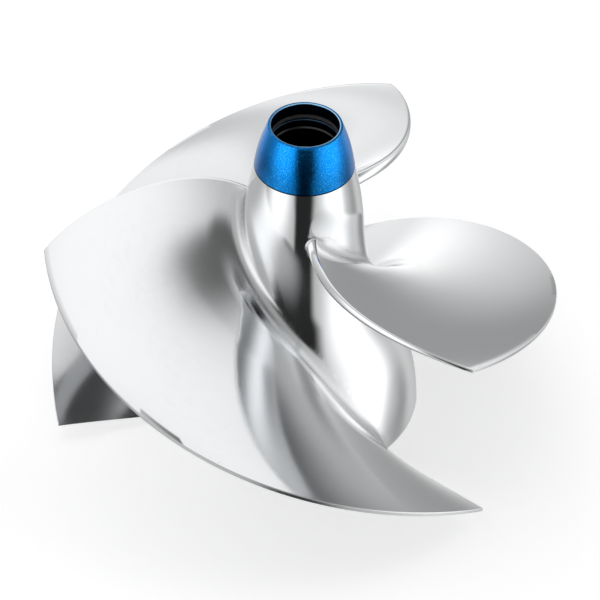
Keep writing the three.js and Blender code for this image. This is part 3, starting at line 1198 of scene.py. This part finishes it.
# Soft boxes and dark cards round the piece: azimuth from the back towards the right and elevation in
# degrees, how tightly each one is gathered, its strength, and how far its height is flattened out.
BASE_LIGHT = 0.55
SOFT_BOXES = {
    "overhead": (4, 60, 1.8, 0.58, 0.54),
    "left": (-130, 4, 8.9, 0.95, 0.76),
    "right": (108, -6, 5.0, 1.0, 1.0),
    "back": (2, -12, 33, 0.73, 0.48),
}
DARK_CARDS = {
    "above the camera": (128, 69, 5.3, 0.8, 0.33),
    "behind on the right": (17, 27, 8.7, 0.66, 0.38),
    "behind on the left": (-32, 22, 66, 0.38, 1.0),
    "low on the right": (78, -28, 18, 0.5, 1.0),
    "low on the left": (-78, -28, 18, 0.5, 1.0),
    "below": (-42, -80, 6.3, 0.88, 0.78),
}
# The dark gap between the two front soft boxes: where it starts and ends, and how softly.
GAP_START = math.radians(-11.5)
GAP_END = math.radians(12)
GAP_START_SOFTNESS = math.radians(7)
GAP_END_SOFTNESS = math.radians(12)
GAP_DARKNESS = 0.96


def lobe(tree, direction, azimuth, elevation, focus, strength, flatness):
    """Light with a flat middle that falls away smoothly from one direction."""
    azimuth, elevation = math.radians(azimuth), math.radians(elevation)
    sideways = math.cos(elevation)
    centre = Vector(
        (math.sin(azimuth) * sideways, math.cos(azimuth) * sideways, math.sin(elevation) * flatness)
    )
    squashed = tree.vector("MULTIPLY", direction, (1.0, 1.0, flatness))
    towards = tree.vector("NORMALIZE", squashed)
    facing = tree.vector("DOT_PRODUCT", towards, tuple(centre.normalized()), output=1)
    away = (1.0 - facing) * focus
    return (away * away * -1.0).math("EXPONENT") * strength


def make_light(scene):
    world = bpy.data.worlds.new("studio")
    scene.world = world
    tree = Tree(world)
    direction = tree.add("ShaderNodeTexCoord", output="Generated")
    light = BASE_LIGHT
    for box in SOFT_BOXES.values():
        light = light + lobe(tree, direction, *box)
    for card in DARK_CARDS.values():
        light = light * (1.0 - lobe(tree, direction, *card))
    x, y, z = tree.axes(direction)
    # The gap is wider a little below the horizon, where the nose ring mirrors it.
    aside = x.math("ARCTAN2", y * -1.0) * (1.0 - z.step(-0.32, -0.2) * 0.3)
    gap = aside.step(GAP_START - GAP_START_SOFTNESS, GAP_START)
    gap = gap * (1.0 - aside.step(GAP_END, GAP_END + GAP_END_SOFTNESS)) * (1.0 - z.step(0.05, 0.3))
    light = light * (1.0 - gap * GAP_DARKNESS)
    background = tree.add("ShaderNodeBackground", None, {"Color": (1, 1, 1, 1), "Strength": light})
    tree.add_output("ShaderNodeOutputWorld", background)
    scene.view_settings.view_transform = "Standard"
    scene.view_settings.look = "None"


def make_camera(scene):
    stage = scene.impeller_stage
    target = Vector((-0.35, 0, 41.13)) * MM
    back = Vector((0, -math.cos(stage.elevation), math.sin(stage.elevation)))
    camera = bpy.data.objects.new("camera", bpy.data.cameras.new("camera"))
    camera.data.lens = stage.lens
    camera.data.sensor_width = 36
    camera.location = target + back * stage.distance
    facing = (-back).to_track_quat("-Z", "Y")
    camera.rotation_euler = facing.to_euler()
    camera.rotation_euler.rotate_axis("Z", stage.roll)
    scene.collection.objects.link(camera)
    scene.camera = camera


class IMPELLER_PT_panel(bpy.types.Panel):
    """Lists the pieces in the sidebar"""

    bl_label = "Jet Pump Impeller"
    bl_idname = "IMPELLER_PT_panel"
    bl_space_type = "VIEW_3D"
    bl_region_type = "UI"
    bl_category = "Impeller"

    def draw(self, context):
        column = self.layout.column()
        for operator in OPERATORS:
            column.operator(operator.bl_idname)
        for name in SETTINGS:
            box = self.layout.box()
            settings = getattr(context.scene, name)
            for size in settings.bl_rna.properties:
                if size.identifier not in ("name", "rna_type"):
                    box.prop(settings, size.identifier)


OPERATORS = (
    IMPELLER_OT_casting,
    IMPELLER_OT_nose_ring,
    IMPELLER_OT_seals,
    IMPELLER_OT_bumper,
    IMPELLER_OT_stage,
)
SETTINGS = {
    "impeller_casting": CastingSettings,
    "impeller_finish": FinishSettings,
    "impeller_stage": StageSettings,
}


def register():
    for cls in (*SETTINGS.values(), *OPERATORS, IMPELLER_PT_panel):
        bpy.utils.register_class(cls)
    for name, settings in SETTINGS.items():
        setattr(bpy.types.Scene, name, PointerProperty(type=settings))


def unregister():
    for name in SETTINGS:
        delattr(bpy.types.Scene, name)
    for cls in (IMPELLER_PT_panel, *reversed(OPERATORS), *SETTINGS.values()):
        bpy.utils.unregister_class(cls)


def main():
    register()
    bpy.ops.impeller.casting()
    bpy.ops.impeller.nose_ring()
    bpy.ops.impeller.seals()
    bpy.ops.impeller.bumper()
    bpy.ops.impeller.stage()


if __name__ == "__main__":
    main()
